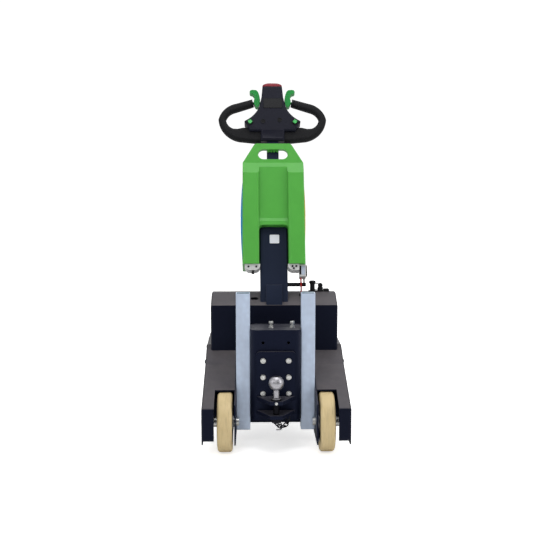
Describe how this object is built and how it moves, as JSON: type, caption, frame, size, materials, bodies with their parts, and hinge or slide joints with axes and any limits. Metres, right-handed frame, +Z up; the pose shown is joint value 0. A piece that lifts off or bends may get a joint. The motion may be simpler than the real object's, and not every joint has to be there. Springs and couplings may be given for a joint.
{
  "type": "electric tow tractor",
  "caption": "Walk-behind electric tow tractor with drive wheels, swivel castors, hitch plate and ball, lift-off battery and tiller.",
  "frame": {"origin": "on the floor, under the middle of the machine's overall box", "axes": "+Z up, +X the right-hand side seen from the hitch end, -Y towards the hitch and the towed cart, +Y towards the driver"},
  "size_m": [0.502, 0.7302, 1.2775],
  "materials": {
    "chassis_paint": "satin black powder coat",
    "guard_paint": "light grey powder coat",
    "zinc_steel": "zinc plated",
    "ball_steel": "forged, turned and polished by use",
    "cast_wheel": "as cast, machined face",
    "solid_tyre": "pale elastic tread, worn",
    "castor_tread": "dark elastic tread",
    "green_plastic": "fine moulded grain",
    "black_plastic": "fine moulded grain",
    "grey_plastic": "fine moulded grain",
    "red_plastic": "polished",
    "red_lead": "soft jacket",
    "black_lead": "soft jacket"
  },
  "bodies": {
    "chassis": {"chassis_tray": "chassis_paint", "front_cover": "chassis_paint", "hood": "chassis_paint", "mast_upright": "chassis_paint", "drive_unit": "cast_wheel", "hitch_column": "chassis_paint", "column_cap": "chassis_paint", "hitch_plate": "chassis_paint", "tow_ball": "ball_steel", "pin_clip": "zinc_steel", "mast_bracket": "chassis_paint", "battery_post": "chassis_paint", "tiller_stem": "chassis_paint", "battery_case": "green_plastic", "battery_seats": "grey_plastic", "connector_arm": "black_plastic", "battery_connector": "grey_plastic", "tiller_head": "black_plastic", "belly_button": "red_plastic", "thumb_rockers": "green_plastic", "side_buttons": "green_plastic", "charge_socket": "black_plastic", "key_switch": "zinc_steel", "lead_red": "red_lead", "lead_black": "black_lead", "lead_gland": "black_plastic", "fender_right": "chassis_paint", "inner_plate_right": "chassis_paint", "guard_bar_right": "guard_paint", "axle_right": "zinc_steel", "castor_plate_right": "zinc_steel", "grip_right": "black_plastic", "fender_left": "chassis_paint", "inner_plate_left": "chassis_paint", "guard_bar_left": "guard_paint", "axle_left": "zinc_steel", "castor_plate_left": "zinc_steel", "grip_left": "black_plastic"},
    "drive_wheel_right": {"tyre_right": "solid_tyre", "rim_right": "cast_wheel"},
    "castor_right": {"castor_fork_right": "zinc_steel"},
    "castor_wheel_right": {"castor_tyre_right": "castor_tread", "castor_rim_right": "cast_wheel"},
    "drive_wheel_left": {"tyre_left": "solid_tyre", "rim_left": "cast_wheel"},
    "castor_left": {"castor_fork_left": "zinc_steel"},
    "castor_wheel_left": {"castor_tyre_left": "castor_tread", "castor_rim_left": "cast_wheel"}
  },
  "joints": [
    {"name": "drive_wheel_right_spin", "type": "hinge", "parent": "chassis", "child": "drive_wheel_right", "pos_m": [0.17, -0.2651, 0.1], "axis": [1, 0, 0], "continuous": true},
    {"name": "castor_right_swivel", "type": "hinge", "parent": "chassis", "child": "castor_right", "pos_m": [0.145, 0.1699, 0.14], "axis": [0, 0, 1], "continuous": true},
    {"name": "castor_wheel_right_spin", "type": "hinge", "parent": "castor_right", "child": "castor_wheel_right", "pos_m": [0.145, 0.1319, 0.0625], "axis": [1, 0, 0], "continuous": true},
    {"name": "drive_wheel_left_spin", "type": "hinge", "parent": "chassis", "child": "drive_wheel_left", "pos_m": [-0.17, -0.2651, 0.1], "axis": [1, 0, 0], "continuous": true},
    {"name": "castor_left_swivel", "type": "hinge", "parent": "chassis", "child": "castor_left", "pos_m": [-0.145, 0.1699, 0.14], "axis": [0, 0, 1], "continuous": true},
    {"name": "castor_wheel_left_spin", "type": "hinge", "parent": "castor_left", "child": "castor_wheel_left", "pos_m": [-0.145, 0.1319, 0.0625], "axis": [1, 0, 0], "continuous": true}
  ]
}
